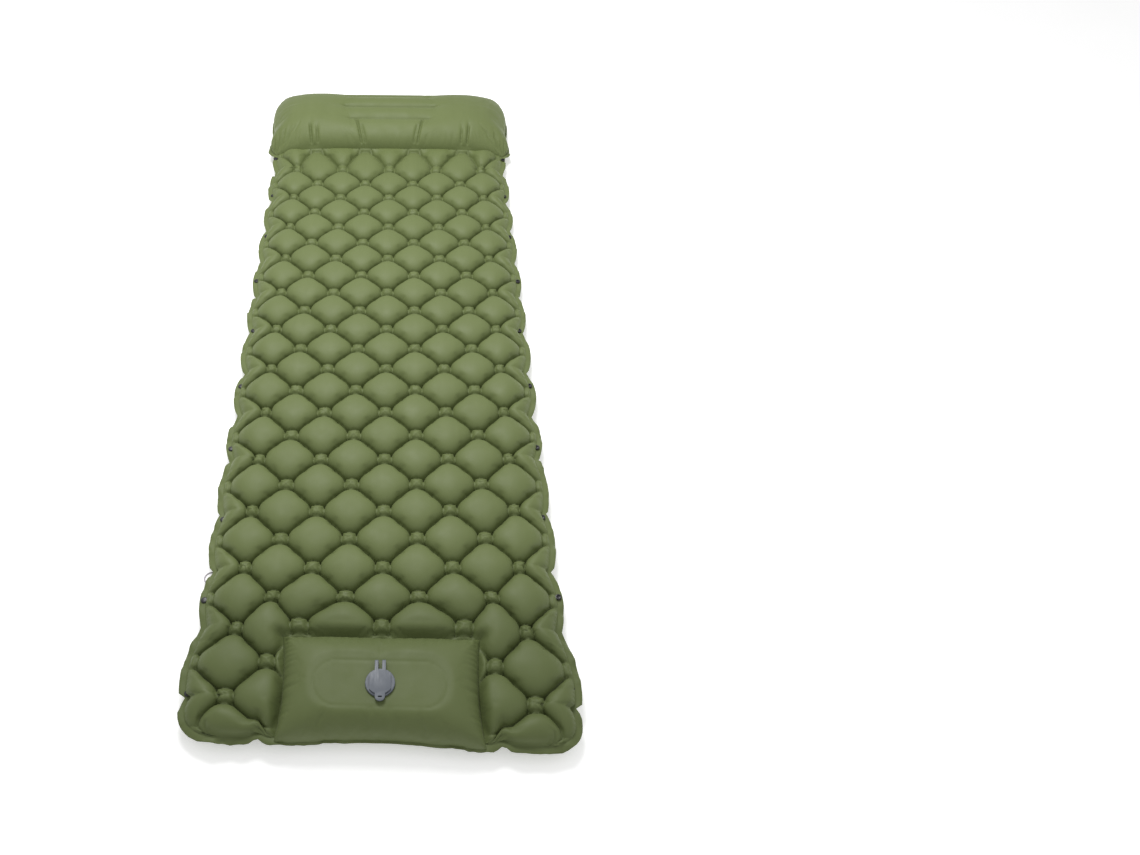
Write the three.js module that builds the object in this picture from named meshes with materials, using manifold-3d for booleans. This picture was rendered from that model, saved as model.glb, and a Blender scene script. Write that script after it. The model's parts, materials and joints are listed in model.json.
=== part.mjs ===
// Inflatable camping pad with a built-in pillow at the head and a built-in foot pump at the foot.
// Units are millimetres. +X is to the right, +Y is towards the head, +Z is up. The origin is at the
// middle of the pad, on the ground.
import * as THREE from "three";
import { mergeVertices } from "three/addons/utils/BufferGeometryUtils.js";
import Module from "manifold-3d";

const wasm = await Module();
wasm.setup();

// ---- Driving dimensions -------------------------------------------------------------------------

const GAP = 0.3; // between pieces that touch
const SHEET = 0.8; // coated fabric
const OVERCUT = 5; // how far a cutting tool runs past what it cuts

const PAD_LENGTH = 1866;
const PAD_WIDTH = 612; // over the side lobes, before the foot flares
const PAD_HEIGHT = 57; // over the puffed cells
const FOOT_FLARE = 12; // extra half width at the foot
const FLARE_LENGTH = 240;
const CORNER_RADIUS = 50;
const CELL_PITCH = 60; // from a cell's crown to its corner
const COLUMNS = 10; // half cells across
const SIDE_LOBE = 6; // how far the side lobes stand past the outermost half cells
const LOBE_DEPTH = 14; // how far the edge draws in between two side lobes
const EDGE_WELD = 14; // flat welded edge
const FOOT_WELD = 12;
const JUNCTION_RISE = 12; // small raised pads where four welds meet
const FLOOR_INSET = 26; // from the edge weld in to where the pad meets the ground
const SIDE_CELL_RISE = 0.75; // outermost half cells, as shares of the full puff: beside a crown
const SIDE_JUNCTION_RISE = 0.35; // and beside a junction
const CORNER_SHARES = [0, 0.13, 0.5, 1]; // where a corner is sampled, as shares of its radius

const PILLOW_DEPTH = 270;
const PILLOW_HEIGHT = 104;
const SEAM_STRIP = 24; // from the last row of cells to the pillow's front seam
const PILLOW_SPREAD = 8; // how far the edge beside the pillow stands out past the side lobes
const SPREAD_LENGTH = 60;
const PILLOW_SLOPE = 16; // width of the steep lower side
const PILLOW_SHOULDER = 52; // from the edge weld in to the crest
const PILLOW_SIDE_RISE = 0.7; // share of the height that the steep side reaches
const RECESS_WIDTH = 240; // hollow for the head
const RECESS_DEPTH = 130;
const RECESS_DROP = 14;
const BAFFLE_COUNT = 3;
const BAFFLE_SPACING = 59;
const BAFFLE_LENGTH = 206;

const PUMP_WIDTH = 306;
const PUMP_DEPTH = 168; // from its seam at the pad's cells to its seam at the foot weld
const PUMP_HEIGHT = 74;
const PUMP_SHOULDER = 20;
const PUMP_SIDE_RISE = 0.6; // shares of the height reached half way in to the shoulder
const PUMP_SHOULDER_RISE = 0.85; // and at the shoulder
const PUMP_CORNER = 14;
const PANEL_WIDTH = 206; // stadium that the foot presses
const PANEL_DEPTH = 76;
const PANEL_TO_FOOT_SEAM = 71; // from the panel's middle
const PATCH = 1; // reinforcement under the panel
const PATCH_INSET = 4;
const FOAM_INSET = 7;
const FOAM_POCKET_DEPTH = 11;
const WALL = 1.6; // pinched weld round the pump chamber
const POCKET_CLEARANCE = 2; // round the valve's flange in the foam

const RING_RADIUS = 23; // intake valve, above the panel
const RING_HEIGHT = 3.8;
const NECK_RADIUS = 20;
const BORE_RADIUS = 15.5;
const FLANGE_RADIUS = 29;
const FLANGE = 1.5;
const CHAMFER = 0.8;
const SPIDER_DROP = 5.6; // from the flange down to the spider's underside
const SPIDER = 2;
const SPOKE = 2.6;
const HUB_RADIUS = 3.4;
const STEM_RADIUS = 1.1;
const STEM_CLEARANCE = 0.5;
const DISC = 0.8;
const DISC_OVERLAP = 2; // bore radius less the disc's own
const DISC_LIFT = 2.5;
const BUTTON_RADIUS = 2.6;

const CAP = 2.5;
const CAP_RADIUS = 20;
const CAP_FLATS = 33; // across its two flat sides
const TAB_WIDTH = 15.5;
const TAB_REACH = 31; // from the valve's axis to the tab's tip
const TAB_SLOT_WIDTH = 6;
const TAB_SLOT = 2.5;
const TAB_SLOT_REACH = 23;
const PRONG_WIDTH = 5.5;
const PRONG_SPACING = 11.5;
const PRONG_REACH = 37;
const PRONG_BEND = 3.5; // outer radius where a prong turns down
const PLUG_CLEARANCE = 0.9; // bore radius less the plug's
const PLUG_DEPTH = 5;
const SEAL = 1.6;
const SEAL_PROUD = 0.6; // how far the seal stands out of the plug
const TONGUE = 1.4; // under each prong

const DUCT_RADIUS = 8; // check valve between the pump chamber and the pad
const DUCT_BORE = 5;
const DUCT_REACH = 12; // each side of the chamber's wall
const DUCT_HEIGHT = 14;
const DUCT_FLANGE = 3;
const DUCT_FLAP_RADIUS = 7;

const OUTLET_ROW_FROM_FOOT = 5; // deflation valve, counted in half cells
const OUTLET_INSET = 50; // from the edge to its axis
const OUTLET_POCKET = 24;
const OUTLET_HEIGHT = 15;
const OUTLET_RADIUS = 15;
const OUTLET_BORE = 10;
const OUTLET_NECK = 12.5;
const OUTLET_FLANGE = 19;
const OUTLET_RING = 4.5;
const OUTLET_CAP = 2;
const STRAP_WIDTH = 8; // holds the cap to its ring
const STRAP_REACH = 5; // past the cap's rim
const STRAP_RISE = 2; // thickness of its upturned end
const LOOP_RADIUS = 13; // pull loop on its cap
const LOOP_WIDTH = 2.4;
const LOOP = 1.6;
const LOOP_OVERHANG = 18; // how far the loop shows past the edge

const SNAPS_PER_SIDE = 11;
const FIRST_SNAP = 91; // from the foot
const LAST_SNAP = 120; // from the head, beside the pillow
const SNAP_RADIUS = 6;
const SNAP_CAP = 2.2;
const SNAP_CROWN = [0.75, 0.9]; // where the cap's crown turns down, as shares of radius and height
const SNAP_RIM = 0.4; // height of its straight rim, as a share of its own
const SNAP_POST_RADIUS = 2;
const SNAP_BASE_RADIUS = 5.5;
const SNAP_BASE = 1.2;
const STUD_RADIUS = 3;
const STUD = 2;
const SOCKET_CLEARANCE = 0.2;
const SNAP_FACETS = 8;
const ROUND_FACETS = 24;

// ---- Values worked out from them ----------------------------------------------------------------

const MID = PAD_HEIGHT / 2; // height of the edge weld
const WELD_TOP = MID + GAP / 2 + SHEET;
const WELD_BOTTOM = MID - GAP / 2 - SHEET;
const HEAD_END = PAD_LENGTH / 2;
const FOOT_END = -PAD_LENGTH / 2;
const PILLOW_FRONT = HEAD_END - PILLOW_DEPTH;
const ROWS_START = FOOT_END + FOOT_WELD;
const ROWS_LENGTH = PILLOW_FRONT - SEAM_STRIP - ROWS_START;
const ROWS = 2 * Math.round(ROWS_LENGTH / (2 * CELL_PITCH));
const ROW_PITCH = ROWS_LENGTH / ROWS;
const COLUMN_PITCH = (PAD_WIDTH - 2 * SIDE_LOBE) / COLUMNS;
const HALF_COLUMNS = COLUMNS / 2;
const SNAP_SPACING = (PAD_LENGTH - FIRST_SNAP - LAST_SNAP) / (SNAPS_PER_SIDE - 1);

const PUMP_FOOT = ROWS_START;
const PUMP_BACK = PUMP_FOOT + PUMP_DEPTH;
const PANEL_Y = PUMP_FOOT + PANEL_TO_FOOT_SEAM;
const PATCH_TOP = PUMP_HEIGHT - SHEET - GAP;
const FLANGE_TOP = PATCH_TOP - PATCH - GAP;
const SPIDER_BOTTOM = FLANGE_TOP - FLANGE - SPIDER_DROP + SPIDER;
const FLOOR_TOP = SHEET + GAP;

const rowY = (row) => ROWS_START + row * ROW_PITCH; // row 0 is at the foot
const isCrown = (column, row) => (column + row) % 2 === 0;

/** Half the pad's width at a row that may lie between two whole rows: lobes at the even ones. */
function halfWidthAtRow(row) {
  const drawnIn = Math.abs(((row % 2) + 2) % 2 - 1);
  const flare = FOOT_FLARE * THREE.MathUtils.smoothstep(
    FOOT_END + FLARE_LENGTH - rowY(row), 0, FLARE_LENGTH - CORNER_RADIUS);
  return PAD_WIDTH / 2 - LOBE_DEPTH * (1 - drawnIn) + flare;
}

/** Half the pad's width at y, a little more beside the pillow, with rounded corners. */
function halfWidth(y) {
  const row = (y - ROWS_START) / ROW_PITCH;
  const spread = PILLOW_SPREAD * THREE.MathUtils.smoothstep(y, PILLOW_FRONT, PILLOW_FRONT + SPREAD_LENGTH);
  const side = row > ROWS ? PAD_WIDTH / 2 + spread : halfWidthAtRow(row);
  const toEnd = Math.min(y - FOOT_END, HEAD_END - y);
  const short = Math.max(CORNER_RADIUS - toEnd, 0);
  return side - CORNER_RADIUS + Math.sqrt(Math.max(CORNER_RADIUS ** 2 - short ** 2, 0));
}

// ---- Building blocks ----------------------------------------------------------------------------

const toManifold = (geometry) => {
  const bare = new THREE.BufferGeometry();
  bare.setAttribute("position", geometry.getAttribute("position"));
  if (geometry.index) {
    bare.setIndex(geometry.index);
  }
  const merged = mergeVertices(bare, 1e-4);
  return new wasm.Manifold(new wasm.Mesh({
    numProp: 3,
    vertProperties: new Float32Array(merged.getAttribute("position").array),
    triVerts: new Uint32Array(merged.index.array),
  }));
};

const toGeometry = (manifold) => {
  const mesh = manifold.getMesh();
  const geometry = new THREE.BufferGeometry();
  geometry.setAttribute("position", new THREE.BufferAttribute(mesh.vertProperties, 3));
  geometry.setIndex(new THREE.BufferAttribute(mesh.triVerts, 1));
  return geometry;
};

const join = (first, ...others) =>
  toGeometry(others.reduce((sum, other) => sum.add(toManifold(other)), toManifold(first)));

const cut = (body, ...tools) =>
  toGeometry(tools.reduce((rest, tool) => rest.subtract(toManifold(tool)), toManifold(body)));

/** A sheet of even height: a surface seen from above and one moved by depth, closed at the edges. */
function sheetSolid(points, triangles, depth) {
  const count = points.length;
  const positions = [];
  points.forEach((p) => positions.push(p[0], p[1], p[2] + Math.max(depth, 0)));
  points.forEach((p) => positions.push(p[0], p[1], p[2] + Math.min(depth, 0)));
  const faces = [];
  const directed = new Set();
  triangles.forEach(([a, b, c]) => {
    faces.push(a, b, c, a + count, c + count, b + count);
    [[a, b], [b, c], [c, a]].forEach(([from, to]) => directed.add(`${from},${to}`));
  });
  directed.forEach((edge) => {
    const [from, to] = edge.split(",").map(Number);
    if (!directed.has(`${to},${from}`)) {
      faces.push(to, from, from + count, to, from + count, to + count);
    }
  });
  const geometry = new THREE.BufferGeometry();
  geometry.setAttribute("position", new THREE.Float32BufferAttribute(positions, 3));
  geometry.setIndex(faces);
  return geometry;
}

/** Strips between rings that hold as many points each, and a fill of the last one if wanted. */
function ringSheet(rings, fill, depth) {
  const count = rings[0].length;
  const triangles = [];
  for (let ring = 0; ring + 1 < rings.length; ring += 1) {
    for (let i = 0; i < count; i += 1) {
      const a = ring * count + i;
      const b = ring * count + ((i + 1) % count);
      triangles.push([a, b, b + count], [a, b + count, a + count]);
    }
  }
  if (fill) {
    const last = rings[rings.length - 1].map((p) => new THREE.Vector2(p[0], p[1]));
    const start = (rings.length - 1) * count;
    THREE.ShapeUtils.triangulateShape(last, [])
      .forEach((triangle) => triangles.push(triangle.map((i) => i + start)));
  }
  return sheetSolid(rings.flat(), triangles, depth);
}

/** A rounded rectangle as a counter-clockwise ring, with the same number of points at any size. */
function roundedRing(left, right, bottom, top, radius, z, bottomRadius = radius) {
  const steps = 4;
  const corners = [[right, top, 0], [left, top, 1], [left, bottom, 2], [right, bottom, 3]];
  return corners.flatMap(([x, y, quarter]) => {
    const round = y === top ? radius : bottomRadius;
    const centreX = x - Math.sign(x - (left + right) / 2) * round;
    const centreY = y - Math.sign(y - (bottom + top) / 2) * round;
    return Array.from({ length: steps + 1 }, (_, i) => {
      const angle = (quarter + i / steps) * Math.PI / 2;
      return [centreX + round * Math.cos(angle), centreY + round * Math.sin(angle), z];
    });
  });
}

const ringShape = (ring) => new THREE.Shape(ring.map((p) => new THREE.Vector2(p[0], p[1])));

const slab = (shape, low, high) =>
  new THREE.ExtrudeGeometry(shape, { depth: high - low, bevelEnabled: false }).translate(0, 0, low);

/** A solid of revolution about Z, from radius and height pairs. */
const turned = (profile, facets = ROUND_FACETS) =>
  new THREE.LatheGeometry(profile.map(([r, z]) => new THREE.Vector2(r, z)), facets).rotateX(Math.PI / 2);

const disc = (radius, low, high, facets) =>
  turned([[0, low], [radius, low], [radius, high], [0, high]], facets);

const tube = (inner, outer, low, high, facets) =>
  turned([[inner, low], [outer, low], [outer, high], [inner, high], [inner, low]], facets);

const box = (left, right, front, back, low, high) => new THREE
  .BoxGeometry(right - left, back - front, high - low)
  .translate((left + right) / 2, (front + back) / 2, (low + high) / 2);

const MATERIALS = {
  fabric: { color: 0x6b7b49, roughness: 0.55, metalness: 0 },
  coating: { color: 0x8b8f86, roughness: 0.6, metalness: 0 },
  foam: { color: 0xd9d6c8, roughness: 0.95, metalness: 0 },
  valve: { color: 0x727982, roughness: 0.45, metalness: 0 },
  membrane: { color: 0x2b2b2d, roughness: 0.6, metalness: 0 },
  snap: { color: 0x0d0d0e, roughness: 0.2, metalness: 0 },
};

const pad = new THREE.Group();

function addPiece(name, geometry, material, place = pad) {
  const piece = new THREE.Mesh(geometry, new THREE.MeshStandardMaterial(MATERIALS[material]));
  piece.name = name;
  place.add(piece);
}

function groupAt(x, y, z) {
  const group = new THREE.Group();
  group.position.set(x, y, z);
  pad.add(group);
  return group;
}

// ---- Snap fasteners along both sides ------------------------------------------------------------

const snapPlaces = Array.from({ length: SNAPS_PER_SIDE }, (_, i) => {
  const y = FOOT_END + FIRST_SNAP + i * SNAP_SPACING;
  return { y, x: halfWidth(y) - EDGE_WELD / 2 };
});

const snapHoles = snapPlaces.flatMap(({ x, y }) => [-x, x].map((side) =>
  disc(SNAP_POST_RADIUS + GAP, MID - OVERCUT, MID + OVERCUT, SNAP_FACETS).translate(side, y, 0)));

function addSnaps() {
  const face = GAP / 2 + SHEET + GAP; // from the weld's middle to the snap's own face
  const cap = [
    [0, face + SNAP_CAP],
    [SNAP_RADIUS * SNAP_CROWN[0], face + SNAP_CAP * SNAP_CROWN[1]],
    [SNAP_RADIUS, face + SNAP_CAP * SNAP_RIM],
    [SNAP_RADIUS, face],
  ];
  const post = [[SNAP_POST_RADIUS, face], [SNAP_POST_RADIUS, -face], [SNAP_BASE_RADIUS, -face]];
  const studBase = -face - SNAP_BASE;
  const studEnd = studBase - STUD;
  const stud = [
    [SNAP_BASE_RADIUS, studBase],
    [STUD_RADIUS, studBase],
    [STUD_RADIUS, studEnd],
    [0, studEnd],
  ];
  const hole = STUD_RADIUS + SOCKET_CLEARANCE;
  const socket = [[SNAP_BASE_RADIUS, studEnd], [hole, studEnd], [hole, studBase], [0, studBase]];
  snapPlaces.forEach(({ x, y }, i) => {
    const number = String(i + 1).padStart(2, "0");
    const left = turned([...cap, ...post, ...stud].reverse(), SNAP_FACETS);
    addPiece(`snap_stud_left_${number}`, left, "snap", groupAt(-x, y, MID));
    const right = turned([...cap, ...post, ...socket].reverse(), SNAP_FACETS).rotateX(Math.PI);
    addPiece(`snap_socket_right_${number}`, right, "snap", groupAt(x, y, MID));
  });
}

// ---- Pad ----------------------------------------------------------------------------------------

/** One line of points across the top sheet. Lines at its two ends lie flat on the edge weld. */
function topLine(row, y, flat) {
  const edge = halfWidth(y);
  const squeeze = Math.min(1, edge / halfWidth(rowY(row)));
  const halfCell = isCrown(HALF_COLUMNS, row) ? SIDE_CELL_RISE : SIDE_JUNCTION_RISE;
  const rise = (share) => (flat ? WELD_TOP : WELD_TOP + share * (PAD_HEIGHT - WELD_TOP));
  const side = [
    [edge, WELD_TOP],
    [edge - EDGE_WELD, WELD_TOP],
    [(HALF_COLUMNS - 0.5) * COLUMN_PITCH * squeeze, rise(halfCell)],
  ];
  const middle = Array.from({ length: COLUMNS - 1 }, (_, i) => {
    const column = i - HALF_COLUMNS + 1;
    const junction = JUNCTION_RISE / (PAD_HEIGHT - WELD_TOP);
    return [column * COLUMN_PITCH * squeeze, rise(isCrown(column, row) ? 1 : junction)];
  });
  const left = side.map(([x, z]) => [-x, z]);
  return [...left, ...middle, ...side.reverse()].map(([x, z]) => [x, y, z]);
}

/** The puffed diamonds: crowns and junctions on a grid, with a weld at the middle of each square. */
function topSheet() {
  const lines = [topLine(0, FOOT_END, true)];
  for (let row = 0; row <= ROWS; row += 1) {
    lines.push(topLine(row, rowY(row), row === 0));
  }
  lines.push(topLine(ROWS, PILLOW_FRONT, true));
  const width = lines[0].length;
  const points = lines.flat();
  const triangles = [];
  const strip = (line, column) => {
    const a = line * width + column;
    triangles.push([a, a + 1, a + 1 + width], [a, a + 1 + width, a + width]);
  };
  const fan = (outline, x, y) => {
    const middle = points.push([x, y, WELD_TOP]) - 1;
    outline.forEach((a, i) => triangles.push([a, outline[(i + 1) % outline.length], middle]));
  };
  for (let column = 0; column + 1 < width; column += 1) {
    strip(0, column);
    strip(ROWS + 1, column);
  }
  for (let line = 1; line <= ROWS; line += 1) {
    const low = line * width;
    const high = low + width;
    const y = rowY(line - 0.5);
    const outer = (HALF_COLUMNS - 0.5) * COLUMN_PITCH - EDGE_WELD / 2;
    strip(line, 0);
    fan([low + 1, low + 2, low + 3, high + 3, high + 2, high + 1], -outer, y);
    for (let column = 3; column + 4 < width; column += 1) {
      const x = (column - 3 - HALF_COLUMNS + 1.5) * COLUMN_PITCH;
      fan([low + column, low + column + 1, high + column + 1, high + column], x, y);
    }
    const last = width - 1;
    const right = [last - 3, last - 2, last - 1];
    fan([...right.map((i) => low + i), ...right.reverse().map((i) => high + i)], outer, y);
    strip(line, last - 1);
  }
  return sheetSolid(points, triangles, -SHEET);
}

/** The pad's outline, moved in by inset, as one ring at height z. */
function padRing(inset, z) {
  const ends = CORNER_SHARES.map((share) => share * CORNER_RADIUS);
  const atHead = ends.map((d) => HEAD_END - d);
  const atFoot = ends.map((d) => FOOT_END + d);
  const rows = Array.from({ length: ROWS + 1 }, (_, i) => rowY(ROWS - i));
  const straight = HEAD_END - CORNER_RADIUS - 1;
  const inner = rows.filter((y) => Math.abs(y) < straight);
  const lines = [...atHead, ...inner, ...atFoot.reverse()];
  const side = lines.map((y) => [
    halfWidth(y) - inset,
    THREE.MathUtils.clamp(y, FOOT_END + inset * (1 + (FOOT_END - y) / PAD_LENGTH), HEAD_END - inset),
    z,
  ]);
  return [...side.map(([x, y]) => [-x, y, z]), ...side.reverse()];
}

/** The outline of the pump's own sheet: its foot side reaches the pad's edge. */
const pumpOutline = (grow, z) => roundedRing(
  -PUMP_WIDTH / 2 - grow, PUMP_WIDTH / 2 + grow, FOOT_END, PUMP_BACK + grow, PUMP_CORNER, z);

/** The weld that parts the pump's chamber from the pad's, pinched up from the bottom sheet. */
function chamberWall() {
  const side = PUMP_WIDTH / 2;
  const low = SHEET / 2;
  const high = WELD_BOTTOM + SHEET;
  const front = PUMP_FOOT - 1;
  return [
    box(-side, side, PUMP_BACK - WALL, PUMP_BACK, low, high),
    box(-side, -side + WALL, front, PUMP_BACK, low, high),
    box(side - WALL, side, front, PUMP_BACK, low, high),
  ];
}

function bottomSheet(outlet) {
  const rings = [
    padRing(0, WELD_BOTTOM),
    padRing(EDGE_WELD, WELD_BOTTOM),
    padRing(EDGE_WELD + FLOOR_INSET, 0),
  ];
  const pan = ringSheet(rings, true, SHEET);
  const pocketWall = tube(OUTLET_POCKET, OUTLET_POCKET + WALL, 0, WELD_BOTTOM)
    .translate(outlet.x, outlet.y, 0);
  const pocketRoof = tube(OUTLET_NECK + GAP, OUTLET_POCKET + WALL, OUTLET_HEIGHT, OUTLET_HEIGHT + SHEET)
    .translate(outlet.x, outlet.y, 0);
  const pocket = disc(OUTLET_POCKET + WALL / 2, -OVERCUT, MID).translate(outlet.x, outlet.y, 0);
  const loopSide = LOOP_RADIUS + 1;
  const loopWay = box(outlet.x - PAD_WIDTH / 2, outlet.x, outlet.y - loopSide, outlet.y + loopSide,
    -OVERCUT, OUTLET_HEIGHT - GAP);
  const duct = disc(DUCT_RADIUS + GAP, -OVERCUT, OVERCUT).rotateX(Math.PI / 2)
    .translate(0, PUMP_BACK - WALL / 2, DUCT_HEIGHT);
  const pinched = join(cut(pan, pocket), pocketWall, pocketRoof, ...chamberWall());
  return cut(pinched, duct, loopWay, ...snapHoles);
}

// ---- Pillow -------------------------------------------------------------------------------------

const RECESS_Y = (PILLOW_FRONT + HEAD_END) / 2;

function addPillow() {
  const side = PAD_WIDTH / 2 + PILLOW_SPREAD;
  const front = PILLOW_FRONT + GAP;
  const ring = (inset, frontInset, z) => roundedRing(
    -side + inset, side - inset, front + frontInset, HEAD_END - inset, CORNER_RADIUS - inset / 2, z,
    1 + frontInset / 2);
  const shoulder = EDGE_WELD + PILLOW_SLOPE;
  const crest = EDGE_WELD + PILLOW_SHOULDER;
  const lip = roundedRing(
    -RECESS_WIDTH / 2, RECESS_WIDTH / 2, RECESS_Y - RECESS_DEPTH / 2, RECESS_Y + RECESS_DEPTH / 2,
    RECESS_DEPTH / 4, PILLOW_HEIGHT - RECESS_DROP);
  const rings = [
    ring(0, 0, WELD_TOP),
    ring(EDGE_WELD, SHEET, WELD_TOP),
    ring(shoulder, PILLOW_SLOPE, MID + (PILLOW_HEIGHT - MID) * PILLOW_SIDE_RISE),
    ring(crest, PILLOW_SHOULDER, PILLOW_HEIGHT),
    lip,
  ];
  addPiece("pillow_cover", cut(ringSheet(rings, true, -SHEET), ...snapHoles), "fabric");

  const baffleTop = PILLOW_HEIGHT - RECESS_DROP - SHEET - GAP;
  const names = ["front", "middle", "rear"];
  for (let i = 0; i < BAFFLE_COUNT; i += 1) {
    const y = RECESS_Y + (i - (BAFFLE_COUNT - 1) / 2) * BAFFLE_SPACING;
    const strip = box(-BAFFLE_LENGTH / 2, BAFFLE_LENGTH / 2, y - SHEET / 2, y + SHEET / 2,
      FLOOR_TOP, baffleTop);
    addPiece(`pillow_baffle_${names[i] ?? i + 1}`, strip, "coating");
  }
}

// ---- Foot pump ----------------------------------------------------------------------------------

const stadium = (inset, z = 0) => roundedRing(
  -PANEL_WIDTH / 2 + inset, PANEL_WIDTH / 2 - inset, PANEL_Y - PANEL_DEPTH / 2 + inset,
  PANEL_Y + PANEL_DEPTH / 2 - inset, PANEL_DEPTH / 2 - inset, z);

function addPump() {
  const side = PUMP_WIDTH / 2;
  const ring = (inset, z) => roundedRing(
    -side + inset, side - inset, PUMP_FOOT + inset, PUMP_BACK - inset, PUMP_CORNER + inset / 2, z);
  const rings = [
    pumpOutline(0, WELD_TOP),
    ring(1, WELD_TOP),
    ring(PUMP_SHOULDER / 2, MID + (PUMP_HEIGHT - MID) * PUMP_SIDE_RISE),
    ring(PUMP_SHOULDER, MID + (PUMP_HEIGHT - MID) * PUMP_SHOULDER_RISE),
    stadium(-GAP, PUMP_HEIGHT),
  ];
  addPiece("pump_skirt", ringSheet(rings, false, -SHEET), "fabric");

  const hole = disc(NECK_RADIUS + GAP, 0, PUMP_HEIGHT + OVERCUT).translate(0, PANEL_Y, 0);
  const panel = slab(ringShape(stadium(0)), PUMP_HEIGHT - SHEET, PUMP_HEIGHT);
  addPiece("pump_panel", cut(panel, hole), "fabric");
  const patch = slab(ringShape(stadium(PATCH_INSET)), PATCH_TOP - PATCH, PATCH_TOP);
  addPiece("pump_panel_patch", cut(patch, hole), "coating");

  const pocketFloor = SPIDER_BOTTOM - FOAM_POCKET_DEPTH + SPIDER_DROP;
  const pocket = disc(FLANGE_RADIUS + POCKET_CLEARANCE, pocketFloor, PUMP_HEIGHT)
    .translate(0, PANEL_Y, 0);
  const foam = slab(ringShape(stadium(FOAM_INSET)), FLOOR_TOP, PATCH_TOP - PATCH - GAP);
  addPiece("pump_foam", cut(foam, pocket), "foam");
}

const prongSides = [-1, 1].map((side) => [
  (side * PRONG_SPACING - PRONG_WIDTH) / 2,
  (side * PRONG_SPACING + PRONG_WIDTH) / 2,
]);

/** The ring that a cap closes, its neck through the panel, its flange below and its spider. */
function addIntakeValve() {
  const place = groupAt(0, PANEL_Y, 0);
  const ringLow = PUMP_HEIGHT + GAP;
  const ringTop = ringLow + RING_HEIGHT;
  const flangeLow = FLANGE_TOP - FLANGE;
  const neckLow = flangeLow - SPIDER_DROP;
  const body = turned([
    [BORE_RADIUS, neckLow],
    [BORE_RADIUS + SPIDER, neckLow],
    [BORE_RADIUS + SPIDER, flangeLow],
    [FLANGE_RADIUS, flangeLow],
    [FLANGE_RADIUS, FLANGE_TOP],
    [NECK_RADIUS, FLANGE_TOP],
    [NECK_RADIUS, ringLow],
    [RING_RADIUS, ringLow],
    [RING_RADIUS, ringTop - CHAMFER],
    [RING_RADIUS - CHAMFER, ringTop],
    [BORE_RADIUS, ringTop],
    [BORE_RADIUS, neckLow],
  ]);
  const spiderTop = neckLow + SPIDER;
  const reach = BORE_RADIUS + SPIDER / 2;
  const spider = [
    disc(HUB_RADIUS, neckLow, spiderTop),
    box(-reach, reach, -SPOKE / 2, SPOKE / 2, neckLow, spiderTop),
    box(-SPOKE / 2, SPOKE / 2, -reach, reach, neckLow, spiderTop),
  ];
  const tongues = prongSides.map(([left, right]) =>
    box(left, right, NECK_RADIUS + 1, PRONG_REACH, ringLow, ringLow + TONGUE));
  const stemHole = disc(STEM_RADIUS + STEM_CLEARANCE, neckLow - 1, spiderTop + 1);
  addPiece("intake_valve_body", cut(join(body, ...spider, ...tongues), stemHole), "valve", place);

  const discTop = neckLow - GAP;
  const buttonLow = spiderTop + GAP + DISC_LIFT;
  addPiece("intake_diaphragm", turned([
    [0, discTop - DISC],
    [BORE_RADIUS - DISC_OVERLAP, discTop - DISC],
    [BORE_RADIUS - DISC_OVERLAP, discTop],
    [STEM_RADIUS, discTop],
    [STEM_RADIUS, buttonLow],
    [BUTTON_RADIUS, buttonLow],
    [BUTTON_RADIUS, buttonLow + DISC],
    [0, buttonLow + DISC],
  ]), "membrane", place);

  addIntakeCap(place, ringTop + GAP, ringLow + TONGUE + GAP);
}

/** The cap, whose prongs end in rounds on the hinge's axis, just above the tongue. */
function addIntakeCap(place, low, prongEnd) {
  const high = low + CAP;
  const flat = CAP_FLATS / 2;
  const flatAngle = Math.acos(flat / CAP_RADIUS);
  const plate = new THREE.Shape();
  plate.absarc(0, 0, CAP_RADIUS, flatAngle, Math.PI - flatAngle);
  plate.absarc(0, 0, CAP_RADIUS, Math.PI + flatAngle, 2 * Math.PI - flatAngle);

  const tab = ringShape(roundedRing(
    -TAB_WIDTH / 2, TAB_WIDTH / 2, -TAB_REACH, -CAP_RADIUS / 2, TAB_WIDTH / 2 - GAP, 0));
  const slot = box(-TAB_SLOT_WIDTH / 2, TAB_SLOT_WIDTH / 2, -TAB_SLOT_REACH - TAB_SLOT, -TAB_SLOT_REACH,
    low - 1, high + 1);

  const inner = PRONG_BEND - CAP;
  const profile = new THREE.Shape();
  profile.moveTo(CAP_RADIUS / 2, high);
  profile.lineTo(PRONG_REACH - PRONG_BEND, high);
  profile.absarc(PRONG_REACH - PRONG_BEND, high - PRONG_BEND, PRONG_BEND, Math.PI / 2, 0, true);
  profile.absarc(PRONG_REACH - CAP / 2, prongEnd + CAP / 2, CAP / 2, 0, -Math.PI, true);
  profile.lineTo(PRONG_REACH - CAP, low - inner / 2);
  profile.lineTo(PRONG_REACH - PRONG_BEND, low);
  profile.lineTo(CAP_RADIUS / 2, low);
  const prongs = prongSides.map(([left]) => new THREE
    .ExtrudeGeometry(profile, { depth: PRONG_WIDTH, bevelEnabled: false, curveSegments: 4 })
    .rotateX(Math.PI / 2).rotateZ(Math.PI / 2)
    .translate(left, 0, 0));

  const plugRadius = BORE_RADIUS - PLUG_CLEARANCE;
  const groove = plugRadius - SEAL + SEAL_PROUD - GAP;
  const plugLow = low - PLUG_DEPTH;
  const sealLow = plugLow + (PLUG_DEPTH - SEAL) / 2;
  const plug = turned([
    [0, plugLow],
    [plugRadius, plugLow],
    [plugRadius, sealLow - GAP],
    [groove, sealLow - GAP],
    [groove, sealLow + SEAL + GAP],
    [plugRadius, sealLow + SEAL + GAP],
    [plugRadius, low + CAP / 2],
    [0, low + CAP / 2],
  ]);
  const pieces = [slab(tab, low, high), ...prongs, plug];
  addPiece("intake_cap", cut(join(slab(plate, low, high), ...pieces), slot), "valve", place);
  addPiece("intake_cap_seal", tube(groove + GAP, plugRadius + SEAL_PROUD, sealLow, sealLow + SEAL),
    "membrane", place);
}

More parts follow.
